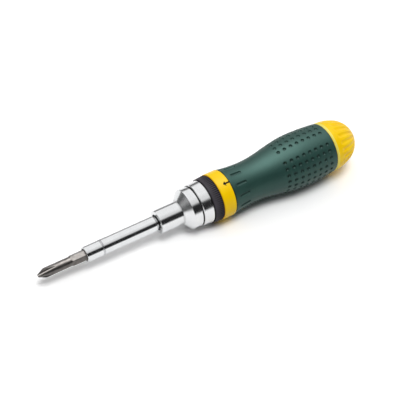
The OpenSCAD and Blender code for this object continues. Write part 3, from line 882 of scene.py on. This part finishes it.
def add_dimples(shape):
    """The field of dimples, with a bare band in line with the mark."""
    pitch = 360 / DIMPLE_ROWS
    stations = between(s_field, s_field_end, DIMPLE_COLUMNS)
    for s0, s1 in zip(stations, stations[1:]):
        middle = (s0 + s1) / 2
        for row in range(1, DIMPLE_ROWS):
            low, high = (s0, pitch * (row - 0.5)), (s1, pitch * (row + 0.5))
            border = cell_border(low, high, DIMPLE_CELL_STEPS, DIMPLE_CELL_STEPS)
            hollow_cell(shape, border, (middle, middle), pitch * row, DIMPLE_R, DIMPLE_DEPTH)
    band = between(-pitch / 2, pitch / 2, DIMPLE_CELL_STEPS)
    fine_stations = between(s_field, s_field_end, DIMPLE_COLUMNS * DIMPLE_CELL_STEPS)
    join_rows(shape, [[skin_point(s, t) for t in band] for s in fine_stations])


def add_lining(shape):
    """The grip's rounded ends and its inside."""
    s_end = GRIP_LEN - GRIP_SEAM
    stations = between(GRIP_SEAM, s_end, GRIP_INSIDE_RINGS)
    inside = [(s, grip_radius(s) - GRIP_WALL) for s in stations]
    front_edge = rounded(
        [
            (GRIP_END_LEN, grip_radius(GRIP_END_LEN), 0),
            (GRIP_SEAM, grip_radius(GRIP_SEAM), GRIP_END_ROUND),
            (*inside[0], 0),
        ]
    )
    back_edge = rounded(
        [
            (*inside[-1], 0),
            (s_end, grip_radius(s_end), GRIP_END_ROUND),
            (s_back, grip_radius(s_back), 0),
        ]
    )
    outline = [*front_edge, *inside[1:-1], *back_edge]
    join_rings(shape, [circle(x_grip + s, r, turns(GRIP_AROUND)) for s, r in outline])


def add_arrow(shape):
    """The arrow in its pocket in the collar, with its stem run into the grip."""
    x_point = x_grip - ARROW_LEN
    x_barb = x_point + ARROW_HALF
    half_steps = between(ARROW_POINT_HALF, ARROW_HALF + ARROW_POINT_HALF, ARROW_ROWS)
    stem_steps = between(x_barb + ARROW_BARB_LEN, x_grip + ARROW_ROOT, ARROW_ROWS)
    outline = list(zip(between(x_point, x_barb, ARROW_ROWS), half_steps))
    outline += [(x, ARROW_STEM_HALF) for x in stem_steps]
    (x_first, first), *sides, (x_last, last) = outline
    columns = between(-1, 1, ARROW_COLUMNS)
    rim = [(x_first, first * k) for k in columns] + sides
    rim += [(x_last, -last * k) for k in columns] + [(x, -half) for x, half in reversed(sides)]

    def row(points, r):
        return [place(x, r, math.degrees(off / COLLAR_R)) for x, off in points]

    top = COLLAR_R - ARROW_SINK
    levels = (top, top - ARROW_T)
    faces = join_rings(shape, [row(rim, r) for r in levels])
    for r in levels:
        faces += join_rows(shape, [row([(x, half * k) for k in columns], r) for x, half in outline])
    for face in faces:
        face.material_index = MARK_AND_HIGHLIGHT_SLOT


def make_grip():
    """The soft grip: its skin from front to back, its lining and its arrow."""
    shape = bmesh.new()
    add_grooves(shape)
    plain_skin(shape, between(s_grooves_end, s_field, WAIST_RINGS))
    add_dimples(shape)
    plain_skin(shape, between(s_field_end, s_back, GRIP_BACK_RINGS))
    add_lining(shape)
    add_arrow(shape)
    grip = mesh_object("soft_grip", shape, GRIP_SHARP_ANGLE)
    dress(grip, "grip_sleeve")
    grip.data.materials.append(surfaces["mark_rubber"])


# The end cap


def dome_radius(s, base, length):
    """Radius of a dome at a distance from its base."""
    return base * max(0, 1 - (s / length) ** DOME_FULLNESS) ** (1 / DOME_FULLNESS)


def cap_radius(s):
    """Radius of the cap's outside, without its flutes, at a distance from the seam."""
    return dome_radius(s, CAP_R, CAP_LEN)


def ease(value, low, high):
    """A smooth rise from 0 to 1 between two values."""
    t = min(1, max(0, (value - low) / (high - low)))
    return t * t * (3 - 2 * t)


def flute_depth(s, turn):
    """Depth of the cap's flutes at a distance from the seam and a turn from the mark."""
    pitch = 360 / CAP_FLUTES
    off = abs((turn % pitch) / pitch - 0.5) / (CAP_FLUTE_SHARE / 2)
    share = s / CAP_LEN
    run = ease(share, *CAP_FLUTE_RISE) * ease(share, *CAP_FLUTE_FALL)
    return CAP_FLUTE_DEPTH * run * max(0, 1 - off**2)


def dome_point(s, turn):
    """A point of the cap's fluted outside."""
    rise = cap_radius(s + DOME_SLOPE_STEP) - cap_radius(s - DOME_SLOPE_STEP)
    slope = rise / (2 * DOME_SLOPE_STEP)
    lean = math.sqrt(1 + slope**2)
    depth = flute_depth(s, turn)
    return place(x_cap + s + depth * slope / lean, cap_radius(s) - depth / lean, turn)


def dome_steps(length, angles):
    """Distances from a dome's base that come closer to each other towards its top."""
    return [length * math.sin(math.radians(a)) for a in angles]


def make_cap():
    """The cap from its spigot over its dome, its inside, and the pale painted highlight on its
    front edge.
    """
    angles = turns(CAP_FLUTES * CAP_FLUTE_STEPS)
    x_front, x_spigot = x_cap + CAP_GAP, cap_low.x
    x_seal = (x_spigot + x_cap) / 2
    s_rim = CAP_GAP + CAP_BEVEL
    plug = rounded(
        [
            (x_spigot, SPIGOT_BORE_R, 0),
            (x_spigot, SPIGOT_R, SPIGOT_ROUND),
            (x_seal - SEAL_HALF, SPIGOT_R, 0),
            (x_seal - SEAL_HALF, SEAL_FLOOR_R, 0),
            (x_seal + SEAL_HALF, SEAL_FLOOR_R, 0),
            (x_seal + SEAL_HALF, SPIGOT_R, 0),
            (x_front, SPIGOT_R, 0),
            (x_front, CAP_R - CAP_BEVEL / 2, CAP_EDGE_ROUND),
            (x_cap + s_rim, cap_radius(s_rim), 0),
        ]
    )
    rings = [circle(x, r, angles) for x, r in plug]
    for s in dome_steps(CAP_LEN, DOME_ANGLES):
        rings.append([dome_point(s, a) for a in angles])
    rings.append(circle(cap_high.x, 0, angles))
    inner_r, inner_len = CAP_R - CAP_WALL, CAP_LEN - CAP_WALL
    inside = [(x_spigot, SPIGOT_BORE_R), (x_front + CAP_WALL, SPIGOT_BORE_R)]
    for s in dome_steps(inner_len, DOME_INSIDE_ANGLES):
        if s > CAP_WALL + CAP_GAP:
            inside.append((x_cap + s, dome_radius(s, inner_r, inner_len)))
    shape = bmesh.new()
    join_rings(shape, rings)
    join_rings(shape, [circle(x, r, angles) for x, r in inside])
    # Faces of the front bevel take the paler yellow of the painted highlight.
    for face in shape.faces:
        middle = face.calc_center_median() / MM
        on_bevel = x_front + CAP_EDGE_MARGIN < middle.x < x_cap + s_rim
        if on_bevel and middle.yz.length > SPIGOT_R:
            face.material_index = MARK_AND_HIGHLIGHT_SLOT
    cap = mesh_object("domed_cap", shape, CAP_SHARP_ANGLE)
    dress(cap, "end_cap")
    cap.data.materials.append(surfaces["painted_highlight_edge"])


make_bit()
make_shaft()
make_nose()
make_spring()
make_grip()
make_cap()

for node, piece in frame["nodes"].items():
    piece.data.materials.clear()
    piece.data.materials.append(surfaces[slot_of[node]])


# Stage, light and camera

FLOOR_SIZE = 6000
FLOOR_GREY = 0.8
FLOOR_MIRRORED_GAIN = 0.2
FLOOR_CAMERA_GAIN = 0.33

# The studio's dark parts: each fades in between two values of a direction's coordinate
ABOVE_FLOOR_Z = (0.02, 0.12)
FRONT_Z = (0.83, 0.68)
FRONT_Y = (-0.22, -0.5)
LEFT_Z = (0.5, 0.3)
LEFT_X = (-0.35, -0.55)
LEFT_SHARE = 0.9
BACK_Z = (0.42, 0.24)
BACK_Y = (0.6, 0.75)
BACK_SHARE = 0.85
STUDIO_DARK = (0.02, 0.02, 0.021, 1)

# The studio's light parts, and the level at which they light the tool and show in it
SKY_Y = (-0.4, 0.1)
SKY_FRONT = (0.8, 0.8, 0.8, 1)
WHITE = (1, 1, 1, 1)
STUDIO_LEVEL = 0.72
STUDIO_MIRRORED_LEVEL = 1

# The photograph's view
VIEW_AZIMUTH = -32.15
VIEW_ELEVATION = 45.57
VIEW_DISTANCE = 800
VIEW_MIDDLE = (115.17, 0, 2.70)
VIEW_LENS = 113.6
VIEW_SENSOR = 36
VIEW_NEAREST = 10


def make_floor():
    """A floor that touches the belly and the collar, and is whitest to the camera."""
    x_belly = x_grip + BELLY_AT
    tilt = math.atan((BELLY_R - COLLAR_R) / (x_belly - x_collar))
    under_belly = Vector((x_belly, 0, -BELLY_R)) * MM
    bpy.ops.mesh.primitive_plane_add(size=FLOOR_SIZE * MM, location=under_belly)
    floor = bpy.context.object
    floor.name = "floor"
    floor.rotation_euler = (0, tilt, 0)
    material = bpy.data.materials.new("floor")
    tree = empty_tree(material)
    path = add(tree, "ShaderNodeLightPath").outputs
    mirrored = compute(tree, "MAXIMUM", path["Is Glossy Ray"], path["Is Transmission Ray"])
    level = compute(tree, "MULTIPLY_ADD", mirrored, FLOOR_MIRRORED_GAIN, FLOOR_GREY)
    level = compute(tree, "MULTIPLY_ADD", path["Is Camera Ray"], FLOOR_CAMERA_GAIN, level)
    show(tree, "ShaderNodeBsdfDiffuse", {"Color": level})
    floor.data.materials.append(material)


def make_world():
    """A white studio that is dark in front, and low on the left and behind."""
    world = bpy.data.worlds.new("studio")
    bpy.context.scene.world = world
    tree = empty_tree(world)
    way = coordinates(tree, "Generated")
    parts = add(tree, "ShaderNodeSeparateXYZ", {"Vector": way}).outputs

    def eased(axis, low, high):
        inputs = {"Value": parts[axis], "From Min": low, "From Max": high}
        kind = "ShaderNodeMapRange"
        return add(tree, kind, inputs, interpolation_type="SMOOTHSTEP").outputs["Result"]

    def times(first, *others):
        for other in others:
            first = compute(tree, "MULTIPLY", first, other)
        return first

    above_floor = eased("Z", *ABOVE_FLOOR_Z)
    front = times(eased("Z", *FRONT_Z), above_floor, eased("Y", *FRONT_Y))
    left = times(eased("Z", *LEFT_Z), above_floor, eased("X", *LEFT_X), LEFT_SHARE)
    back = times(eased("Z", *BACK_Z), eased("Y", *BACK_Y), BACK_SHARE)
    dark = compute(tree, "MAXIMUM", compute(tree, "MAXIMUM", front, left), back)
    sky = mix(tree, eased("Y", *SKY_Y), SKY_FRONT, WHITE)
    path = add(tree, "ShaderNodeLightPath").outputs
    levels = {
        "Value": path["Is Glossy Ray"],
        "To Min": STUDIO_LEVEL,
        "To Max": STUDIO_MIRRORED_LEVEL,
    }
    light = {
        "Color": mix(tree, dark, sky, STUDIO_DARK),
        "Strength": add(tree, "ShaderNodeMapRange", levels).outputs["Result"],
    }
    studio = add(tree, "ShaderNodeBackground", light).outputs[0]
    backdrop = add(tree, "ShaderNodeBackground", {"Color": WHITE, "Strength": 1}).outputs[0]
    shown = add(tree, "ShaderNodeMixShader", {0: path["Is Camera Ray"], 1: studio, 2: backdrop})
    add(tree, "ShaderNodeOutputWorld", {"Surface": shown.outputs[0]})


def make_lamp(name, energy, angle, way):
    """A soft lamp that shines alike all over the floor."""
    data = bpy.data.lights.new(name, "SUN")
    data.energy = energy
    data.angle = math.radians(angle)
    lamp = bpy.data.objects.new(name, data)
    lamp.rotation_mode = "QUATERNION"
    lamp.rotation_quaternion = Vector(way).to_track_quat("-Z", "Y")
    bpy.context.scene.collection.objects.link(lamp)
    return lamp


def make_light():
    """A key from above and a little in front, and a glint that all but bright metal shows."""
    key = make_lamp("key", energy=1.65, angle=27, way=(-0.02, 0.22, -0.89))
    key.visible_glossy = False
    glint = make_lamp("glint", energy=3.0, angle=55, way=(-0.02, -0.17, -0.9))
    glint.visible_diffuse = False
    satin = bpy.data.collections.new("satin")
    bright = {surfaces["chrome"], surfaces["spring_steel"]}
    for piece in bpy.context.scene.objects:
        if piece.type == "MESH" and not bright & set(piece.data.materials):
            satin.objects.link(piece)
    glint.light_linking.receiver_collection = satin


def make_camera():
    """The photograph's view: its angles, its distance and the point at its middle."""
    azimuth, elevation = math.radians(VIEW_AZIMUTH), math.radians(VIEW_ELEVATION)
    level = Vector((math.sin(azimuth), -math.cos(azimuth), 0))
    back = level * math.cos(elevation) + Vector((0, 0, math.sin(elevation)))
    data = bpy.data.cameras.new("camera")
    data.lens = VIEW_LENS
    data.sensor_width = VIEW_SENSOR
    data.clip_start = VIEW_NEAREST * MM
    camera = bpy.data.objects.new("camera", data)
    camera.location = (Vector(VIEW_MIDDLE) + back * VIEW_DISTANCE) * MM
    camera.rotation_mode = "QUATERNION"
    camera.rotation_quaternion = (-back).to_track_quat("-Z", "Y")
    bpy.context.scene.collection.objects.link(camera)
    bpy.context.scene.camera = camera


make_floor()
make_world()
make_light()
make_camera()
bpy.context.scene.view_settings.view_transform = "Standard"
